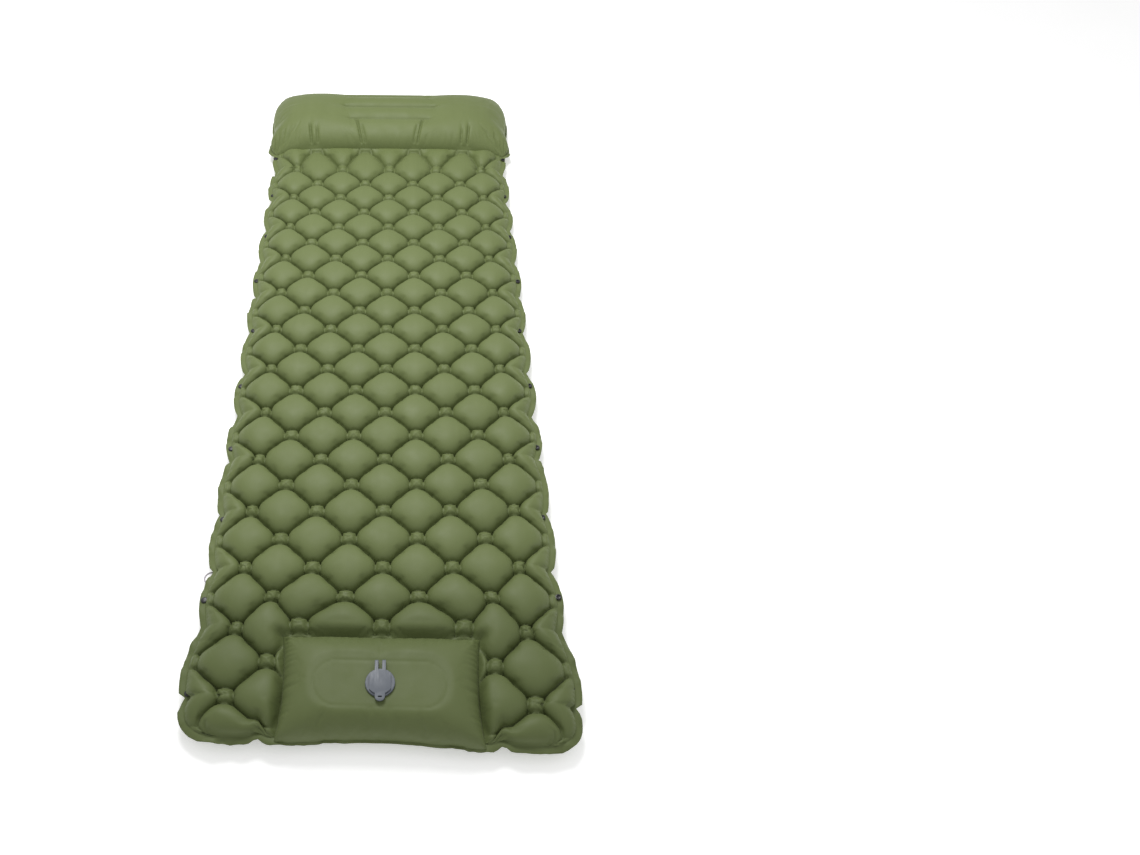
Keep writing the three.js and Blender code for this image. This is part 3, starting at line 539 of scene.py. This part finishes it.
def pad_sheet():
    """The puffed diamonds on a mesh whose lines run along the welds, and its three borders.

    A point has p and q along the two directions of the welds, and u across and v down the pad,
    all in half cells; a and b are -1 to 1 across its own cell.
    """
    steps = side_positions()
    cells = COLUMNS + ROWS // 2
    line = (2 * np.arange(cells)[:, None] + 1 + steps[None, :]).ravel()
    line = np.append(line, 2 * cells)
    p, q = np.meshgrid(line - COLUMNS, line - COLUMNS - ROWS, indexing="ij")
    u, v = (p + q) / 2, (p - q) / 2
    inside = (np.abs(u) < COLUMNS + TINY) & (v > -1e-6) & (v < ROWS + TINY)

    a = (p + 1) % 2 - 1
    b = (q + 1) % 2 - 1
    cell_p, cell_q = np.floor((p + 1) / 2).astype(int), np.floor((q + 1) / 2).astype(int)
    random = np.random.default_rng(11)
    cell = (cell_p + ROWS, cell_q + ROWS)
    table = (3 * ROWS, 3 * ROWS)
    puff = random.uniform(0.975, 1.025, table)
    pinch = random.uniform(-0.2, 1.1, table)
    rise = cell_height(a, b, pinch[cell]) * puff[cell]

    to_side = np.clip(np.abs(u) - (COLUMNS - 1), 0, 1)
    to_foot = np.clip(v - (ROWS - 1), 0, 1)
    rise = rise * (1 - to_side ** 3) ** EDGE_POWER * (1 - to_foot ** 3) ** EDGE_POWER

    at_side = smooth(np.abs(u), COLUMNS - 1, COLUMNS)
    drawn_out = UNDER_PILLOW + (PILLOW_FRONT - FIRST_ROW - UNDER_PILLOW) * at_side
    y = FIRST_ROW - PITCH * v + drawn_out * np.clip(1 - v, 0, 1)
    pump_row = (FIRST_ROW - PUMP_BACK) / PITCH - 0.4
    above_pump = 1 - smooth(PITCH * np.abs(u), PUMP_HALF, PUMP_HALF + PITCH)
    pushed = 0.008  # how far the pump pushes the row above it towards the head
    y = y + pushed * np.exp(-((v - pump_row) / 0.8) ** 2) * above_pump
    y = y + (FOOT_END + EDGE_WELD - (FIRST_ROW - PITCH * ROWS)) * smooth(v, ROWS - 2, ROWS)
    edge = weld_line(y, FOOT_END)
    squeeze = 1 - (half_width(y) - EDGE_WELD - edge) / (PITCH * COLUMNS)
    near_pump = np.exp(-((v - pump_row) / 0.9) ** 2 - (np.abs(u) - 2) ** 2)
    squeeze = squeeze * (1 + 0.08 * np.clip(1 - v, 0, 1)) + 0.14 * near_pump
    at_edge = smooth(np.abs(u), COLUMNS - 1.6, COLUMNS)
    x = PITCH * u * squeeze + np.sign(u) * (edge - PITCH * COLUMNS * squeeze) * at_edge
    y = y + foot_notch(x) * smooth(v, ROWS - 1.2, ROWS)

    at_pillow = pillow_seam_height(x) - MID + SEAM_LAP
    rise = at_pillow + (rise - at_pillow) * smooth(PILLOW_FRONT - y, 0, 0.009) ** EDGE_POWER

    distance = pump_distance(x, y)
    share = smooth(distance, 0, 0.015) ** EDGE_POWER
    seam = pump_seam_height(x, y) - MID
    sunk = 0.6 * np.clip(distance, -0.012, 0)  # the cells dive down inside the pump's seam
    rise = seam + (rise - seam) * share + sunk
    z = MID + SHEET_HALF + rise

    # Held still: the dashes, the outlines of the corner pads, the edges and the seams.
    shorter, longer = np.minimum(np.abs(a), np.abs(b)), np.maximum(np.abs(a), np.abs(b))
    held = (longer > 1 - TINY) & (shorter < DASH_END)
    outline = np.abs(np.abs(a) + np.abs(b) - 1 - DASH_END) < TINY
    at_edges = (np.abs(u) > COLUMNS - TINY) | (v < 0.2) | (v > ROWS - TINY)
    held |= at_edges | (distance < 0.004) | outline

    sheet = Sheet()
    number = np.full(p.shape, -1)
    number[inside] = sheet.add_points(np.c_[x[inside], y[inside], z[inside]], held[inside])
    creased = set(number[outline].tolist())
    corners = np.stack([number[:-1, :-1], number[1:, :-1], number[1:, 1:], number[:-1, 1:]], -1)
    for face in corners.reshape(-1, 4).tolist():
        first, second, third, fourth = face
        kept = [i for i in face if i >= 0]
        if len(kept) == 4 and first in creased and third in creased:
            sheet.faces += [(first, second, third), (first, third, fourth)]
        elif len(kept) == 4 and second in creased and fourth in creased:
            sheet.faces += [(first, second, fourth), (second, third, fourth)]
        elif len(kept) > 2:
            sheet.faces.append(tuple(kept))
    borders = []  # left, foot and right
    for distance, axis in ((u + COLUMNS, 1), (v - ROWS, 0), (u - COLUMNS, 1)):
        numbers = number[inside & (np.abs(distance) < TINY)]
        borders.append(numbers[np.argsort(sheet.points[numbers, axis])])
    return sheet, borders


def top_of_pad():
    """The puffed top sheet with its flat edge, still level and square at the foot."""
    sheet, borders = pad_sheet()
    left, foot, right = borders
    ring = np.concatenate([left[::-1], foot[1:-1], right])
    at_foot = np.zeros(len(ring), bool)
    at_foot[len(left):-len(right)] = True
    sheet.add_edge(ring, FOOT_END, at_foot, rim_on_left=False, face_height=MID + SHEET_HALF)
    sheet.points = puffed(sheet, pressure=700, growth=1.03, bending=0.01)
    return sheet


def without_pump(sheet):
    """The faces that don't lie well under the pump."""
    hidden = pump_distance(sheet.points[:, 0], sheet.points[:, 1]) < -PUMP_DEPTH
    return [face for face in sheet.faces if not all(hidden[i] for i in face)]


RESTING_Z = 0.0006  # where the cells bear on the ground
RESTED_Z = 0.004  # points below this height are pressed flat
UNDER_PUMP_Z = 0.0015
UNDER_HEAD_Z = 0.002
POCKET_Z = 0.0152  # of the pocket for the outlet valve, and of the groove for its loop


def underside(top):
    """The top sheet's points mirrored about the weld, flat where they bear on the ground."""
    points = top.points.copy()
    x, y = points[:, 0], points[:, 1]
    z = 2 * MID - points[:, 2]
    under_pump = smooth(-pump_distance(x, y), -0.012, 0.012)
    behind_foot = smooth(y, FOOT_END + EDGE_WELD, FOOT_END + 0.045)
    z = z + (UNDER_PUMP_Z - z) * under_pump * behind_foot
    near_head = smooth(y, FIRST_ROW, PILLOW_FRONT)
    inner = smooth(half_width(y) - EDGE_WELD - np.abs(x), 0, 0.03)
    z = z + (UNDER_HEAD_Z - z) * near_head * inner
    pressed = RESTING_Z + (RESTED_Z - RESTING_Z) * smooth(z, -0.008, RESTED_Z) ** 2
    z = np.where(z < RESTED_Z, pressed, z)
    pocket = 1 - smooth(np.hypot(x - OUTLET.x, y - OUTLET.y), 0.022, 0.034)
    to_edge = (1 - smooth(np.abs(y - OUTLET.y), 0.017, 0.027)) * (x < OUTLET.x)
    z = z + (POCKET_Z - z) * pocket
    z = np.where(z < POCKET_Z, z + (POCKET_Z - z) * to_edge, z)
    points[:, 2] = z + ruffle(x, y)
    return points


top = top_of_pad()
waved = top.points.copy()
waved[:, 2] += ruffle(waved[:, 0], waved[:, 1])
top_piece = fabric_piece("pad_top", skewed(waved), without_pump(top))
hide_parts("top_sheet")


# ---- Pillow -------------------------------------------------------------------------------------

RECESS_HALF = 0.120  # half the width of the hollow for the head
RECESS_DROP = 0.0035  # depth of that hollow
RECESS_LINES = (-0.059, 0.0, 0.059)  # y of its three cross welds, from the pillow's middle
OUTER_LINE_HALF = 0.104  # half the length of the first and the last of them
LINE_WIDTH = 0.0042
LINE_HEIGHT = BAFFLE_TOP + 0.0008
REAR_DROP = 0.010  # of the middle part behind its last weld
FOLD_WIDTH = 0.0025
SIDE_BULGE = 0.012  # how far the pillow's sides lean out over the flat edge


def eased(count, bend):
    """Shares from -1 to 1 that lie closer together at both ends."""
    return np.sin(np.linspace(-1, 1, count) * math.pi / 2 * bend) / math.sin(math.pi / 2 * bend)


def pillow_grid(columns, rows):
    """Grid lines over the pillow, inside its welds: (columns + 1, rows + 1) arrays of x and y."""
    depth = HEAD_END - EDGE_WELD - PILLOW_FRONT
    y_line = PILLOW_FRONT + (eased(rows + 1, 0.86) + 1) / 2 * depth
    y = np.broadcast_to(y_line, (columns + 1, rows + 1)).copy()
    x = eased(columns + 1, 0.8)[:, None] * weld_line(y, HEAD_END)
    return x, y


FRONT_LINE = PILLOW_MIDDLE + RECESS_LINES[0]
FOLDS = (  # x at the seam, x at the top, y of the top, depth
    (0.072, 0.090, FRONT_LINE + 0.004, 0.0120),
    (0.062, 0.076, FRONT_LINE - 0.020, 0.0080),
    (0.187, 0.191, PILLOW_FRONT + 0.044, 0.0080),
    (0.203, 0.210, PILLOW_FRONT + 0.054, 0.0100),
)


def pillow_folds(x, y):
    """Sharp creases that rise on the pillow's front from the junctions at its seam."""
    depth = 0
    for start, end, top_y, deep in FOLDS:
        share = np.clip((y - PILLOW_FRONT) / (top_y - PILLOW_FRONT), 0, 1)
        place = start + (end - start) * share
        crease = np.exp(-(np.abs(np.abs(x) - place) / FOLD_WIDTH) ** 1.2)
        fold = crease * (1 - smooth(y, top_y - 0.022, top_y + 0.004))
        depth = depth + deep * fold * smooth(y, PILLOW_FRONT, PILLOW_FRONT + 0.008)
    return depth


def line_half(offset):
    return RECESS_HALF if offset == 0 else OUTER_LINE_HALF


def pillow_height(x, y):
    """A fat tube with two lobes, a hollow for the head and folds where welds pull on it."""
    depth = HEAD_END - EDGE_WELD - PILLOW_FRONT
    from_middle = y - PILLOW_MIDDLE
    across = np.clip(np.abs(x) / weld_line(y, HEAD_END), 0, 1)
    along = (y - PILLOW_FRONT) / depth * 2 - 1
    ends = (1 - across ** 7) ** 0.5
    front = np.clip(1 - np.abs(along) ** np.where(along < 0, 3.0, 2.1), 0, 1) ** 0.5
    base = np.where(along < 0, pillow_seam_height(x), MID)
    hollow = (1 - smooth(np.abs(x), RECESS_HALF - 0.012, RECESS_HALF + 0.050)) \
        * (1 - smooth(np.abs(from_middle), 0.060, 0.084))
    behind = smooth(from_middle - RECESS_LINES[-1], 0.002, 0.040) \
        * (1 - smooth(np.abs(x), RECESS_HALF, RECESS_HALF + 0.06))
    height = base + (PILLOW_TOP - base) * ends * front - RECESS_DROP * hollow \
        - REAR_DROP * behind * (1 - along ** 4)
    for offset in RECESS_LINES:
        half = line_half(offset)
        to_line = np.abs(from_middle - offset) + 0.45 * np.clip(np.abs(x) - half, 0, None)
        line = np.exp(-to_line / LINE_WIDTH) * (1 - smooth(np.abs(x), half, half + 0.035))
        height = height - np.clip(height - LINE_HEIGHT, 0, None) * line
    seam_folds = 0.0006 * gathers(x, 21) * np.exp(-((y - PILLOW_FRONT - 0.008) / 0.009) ** 2)
    side_folds = 0.0015 * gathers(y, 22) * np.exp(-((1 - across) / 0.035) ** 2) * (across < 1)
    height = height - pillow_folds(x, y) * (1 - smooth(np.abs(along), 0.999, 1))
    return height + seam_folds * (along > -0.98) + side_folds


def leaning_out(x, y, z):
    """X of pillow points moved out over the flat edge at half their height."""
    level = np.clip((z - MID) / (PILLOW_TOP - MID), 0, 1)
    near = smooth(np.abs(x) / weld_line(y, HEAD_END), 0.80, 0.98)
    return x + np.sign(x) * SIDE_BULGE * near * np.sin(math.pi * level ** 0.7)


def build_pillow():
    """The pillow's cover with its flat edge."""
    x, y = pillow_grid(300, 150)
    line = np.zeros(x.shape, bool)
    for offset in RECESS_LINES:
        nearest = np.abs(y[0] - PILLOW_MIDDLE - offset).argmin()
        y[:, nearest] = PILLOW_MIDDLE + offset
        line[:, nearest] = np.abs(x[:, nearest]) < line_half(offset)
    z = pillow_height(x, y) + SHEET_HALF
    z[:, -1] = z[0] = z[-1] = MID + SHEET_HALF
    z[:, 0] = pillow_seam_height(x[:, 0])
    border = grid_border(x.shape)
    x = np.where(border, x, leaning_out(x, y, z))
    sheet = Sheet()
    number = sheet.add_grid(x, y, z, (border | line).ravel())
    add_pillow_edge(sheet, number, MID + SHEET_HALF)
    points = puffed(sheet, pressure=260, growth=1.0, bending=0.02)
    points[:, 2] += ruffle(points[:, 0], points[:, 1]) * (points[:, 2] < MID + 0.002)
    cover = fabric_piece("pillow", points, sheet.faces)
    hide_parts("pillow_cover")


def add_pillow_edge(sheet, number, face_height):
    """The flat welded edge from the pillow's left front corner round to its right one."""
    ring = np.concatenate([number[0], number[1:, -1], number[-1, -2::-1]])
    y = sheet.points[ring, 1]
    at_head = np.abs(y - y.max()) < TINY
    sheet.add_edge(ring, HEAD_END, at_head, rim_on_left=True, face_height=face_height)


OUTLET_HOLE = 0.0125


def build_bottom():
    """The underside: mirrored cells, and a plain pan under the pillow."""
    cells = underside(top)
    x, y = pillow_grid(40, 20)
    inset = np.minimum(weld_line(y, HEAD_END) - np.abs(x), HEAD_END - EDGE_WELD - y)
    profile = (1 - (1 - np.clip(inset / 0.03, 0, 1)) ** 2.5) ** 0.5
    z = MID - SHEET_HALF - (MID - 2 * SHEET_HALF) * profile
    pan = Sheet()
    number = pan.add_grid(x, y, z, True)
    add_pillow_edge(pan, number, MID - SHEET_HALF)
    pan.points[:, 2] += ruffle(pan.points[:, 0], pan.points[:, 1])
    points = skewed(np.vstack([cells, pan.points]))
    faces = [tuple(reversed(face)) for face in top.faces]
    faces += [tuple(i + len(cells) for i in reversed(face)) for face in pan.faces]
    to_outlet = np.hypot(points[:, 0] - OUTLET.x, points[:, 1] - OUTLET.y)
    faces = [face for face in faces if not all(to_outlet[i] < OUTLET_HOLE for i in face)]
    bottom = fabric_piece("pad_underside", points, faces)
    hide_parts("bottom_sheet")


build_pillow()
build_bottom()


# ---- Foot pump ----------------------------------------------------------------------------------

def beside_seam(distance):
    """1 at 10 mm from the seam, where its folds are deepest, and 0 at it and well inside."""
    return np.exp(-((distance - 0.010) / 0.010) ** 2) * smooth(distance, 0, 0.006)


def pump_height(x, y):
    """Flat round the valve, a gentle slope towards the head and a steep one at the foot."""
    across = np.clip(np.abs(x) / pump_side(y), 0, 1)
    back = np.clip((y - VALVE.y) / (PUMP_BACK - VALVE.y), 0, 1)
    front = np.clip((VALVE.y - y) / (VALVE.y - PUMP_FRONT), 0, 1)
    share = ((1 - across ** 6) * (1 - back ** 2.8) * (1 - front ** 3.4)) ** 0.5
    base = pump_seam_height(x, y)
    height = base + (PUMP_TOP - base) * share
    from_side = pump_side(y) * (1 - across)
    from_back = (PUMP_BACK - VALVE.y) * (1 - back)
    side_folds = 0.0016 * gathers(y, 31) * beside_seam(from_side)
    back_folds = 0.0012 * gathers(x, 32) * beside_seam(from_back)
    return height + side_folds + back_folds


VALVE_SEAT = 0.026  # radius of the flat place under the valve
OUTLINE_WIDTH = 0.0016  # of the groove round the panel
OUTLINE_DEPTH = 0.0009
FLATTENED = 0.7  # how much of the panel's swelling its patch takes away


def build_pump():
    """Points and faces of the sheet over the pump, with the panel's outline pressed into it."""
    columns, rows = 110, 64
    y_line = PUMP_MIDDLE + eased(rows + 1, 0.8) * (PUMP_BACK - PUMP_FRONT) / 2
    y = np.broadcast_to(y_line, (columns + 1, rows + 1)).copy()
    x = eased(columns + 1, 0.8)[:, None] * pump_side(y)
    z = pump_height(x, y)
    border = grid_border(x.shape)
    z[border] = pump_seam_height(x, y)[border] - 0.0004
    y = y + foot_notch(x) * (1 - smooth(y, PUMP_FRONT, PUMP_FRONT + 0.03))
    half_long = (PANEL_HIGH.x - PANEL_LOW.x) / 2
    half_wide = (PANEL_HIGH.y - PANEL_LOW.y) / 2
    under_valve = np.hypot(x, y - VALVE.y) < VALVE_SEAT
    z[under_valve] = PUMP_TOP
    sheet = Sheet()
    sheet.add_grid(x, y, z, (border | under_valve).ravel())
    points = puffed(sheet, pressure=200, growth=1.008, bending=0.01)
    past_straight = np.maximum(np.abs(points[:, 0]) - (half_long - half_wide), 0)
    to_axis = np.hypot(past_straight, points[:, 1] - VALVE.y)
    inside = 1 - smooth(to_axis, half_wide - 0.004, half_wide + 0.02)
    outline = np.exp(-((to_axis - half_wide) / OUTLINE_WIDTH) ** 2)
    level = np.minimum(points[:, 2], PUMP_TOP + 0.0002)
    points[:, 2] = level + (PUMP_TOP - level) * FLATTENED * inside - OUTLINE_DEPTH * outline
    return points, sheet.faces


pump_points, pump_faces = build_pump()
pump = fabric_piece("pump_bag", skewed(pump_points), pump_faces, levels=1)
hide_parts("pump_skirt", "pump_panel")

foam_block = bpy.data.objects.new("foam_block", NODES["pump_foam"].data.copy())
bpy.context.scene.collection.objects.link(foam_block)
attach(foam_block, "pad")
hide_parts("pump_foam")

for soft, node_name, reach in ((pump, "pump_skirt", PUMP_TOP),
                               (foam_block, "pump_foam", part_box("pump_foam")[1][2])):
    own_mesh(soft)


# ---- Valve and snaps ----------------------------------------------------------------------------

def bevelled_copy(node_name, name, slot, body, width):
    """A CAD piece with its edges rounded and its faces smooth."""
    obj = bpy.data.objects.new(name, NODES[node_name].data.copy())
    bpy.context.scene.collection.objects.link(obj)
    weld = obj.modifiers.new("weld", "WELD")
    weld.merge_threshold = 0.00002
    decimate = obj.modifiers.new("flat faces", "DECIMATE")
    decimate.decimate_type = "DISSOLVE"
    decimate.angle_limit = math.radians(1)
    bevel = obj.modifiers.new("bevel", "BEVEL")
    bevel.width = width
    bevel.segments = 3
    bevel.limit_method = "ANGLE"
    bevel.angle_limit = math.radians(35)
    shape = obj.evaluated_get(bpy.context.evaluated_depsgraph_get())
    obj.data = bpy.data.meshes.new_from_object(shape)
    obj.modifiers.clear()
    obj.data.shade_smooth()
    obj.data.set_sharp_from_angle(angle=math.radians(40))
    obj.data.materials.clear()
    obj.data.materials.append(MATERIALS[slot])
    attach(obj, body)
    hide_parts(node_name)


bevelled_copy("intake_valve_body", "valve_body", "valve", "pump_top", 0.0004)
bevelled_copy("intake_cap", "valve_cap", "valve", "intake_cap", 0.0005)
for snap in (name for name in NODES if name.startswith("snap_")):
    bevelled_copy(snap, snap.replace("snap", "press_stud"), "snap", "pad", 0.0004)


# ---- Floor, light and camera --------------------------------------------------------------------

def add_floor():
    """A pale floor that glows slightly, so that it comes out as white as the photo's ground."""
    mesh = bpy.data.meshes.new("floor")
    reach = 6
    corners = [(-reach, -reach, 0), (reach, -reach, 0), (reach, reach, 0), (-reach, reach, 0)]
    mesh.from_pydata(corners, [], [(0, 1, 2, 3)])
    floor = bpy.data.objects.new("floor", mesh)
    bpy.context.scene.collection.objects.link(floor)
    shader = Shader("floor", Specular_IOR_Level=0.2, Emission_Color=(1, 1, 1, 1),
                    Emission_Strength=0.35)
    colour = shader.ramp(shader.noise(3), grey(0.90), grey(0.92))
    roughness = shader.ramp(shader.noise(20), grey(0.8), grey(0.9))
    grain = shader.bump(shader.noise(200), 0.05, 0.0002)
    mesh.materials.append(shader.finish(colour, roughness, grain))


def add_light(name, place, target, size, power):
    data = bpy.data.lights.new(name, "AREA")
    data.shape = "DISK"
    data.size = size
    data.energy = power
    light = bpy.data.objects.new(name, data)
    light.location = place
    light.rotation_euler = (Vector(target) - light.location).to_track_quat("-Z", "Y").to_euler()
    bpy.context.scene.collection.objects.link(light)


def add_camera():
    data = bpy.data.cameras.new("camera")
    data.sensor_width = 36
    data.lens = 29.045
    data.shift_x = 0.12
    camera = bpy.data.objects.new("camera", data)
    camera.location = (0.0376, -1.4838, 1.3868)
    camera.rotation_euler = [math.radians(angle) for angle in (41.307, -1.288, -1.2505)]
    bpy.context.scene.collection.objects.link(camera)
    bpy.context.scene.camera = camera


def add_world():
    world = bpy.data.worlds.new("studio")
    world.use_nodes = True
    background = world.node_tree.nodes["Background"]
    background.inputs["Color"].default_value = (1, 1, 1, 1)
    background.inputs["Strength"].default_value = 0.62
    bpy.context.scene.world = world


add_floor()
add_world()
add_light("key", (-0.2, 0.5, 1.65), (-0.1, -0.1, 0), 0.9, 28)
add_light("fill", (1.6, -1.2, 2.4), (0, -0.3, 0), 2.4, 6)
add_camera()
bpy.context.scene.view_settings.view_transform = "Standard"
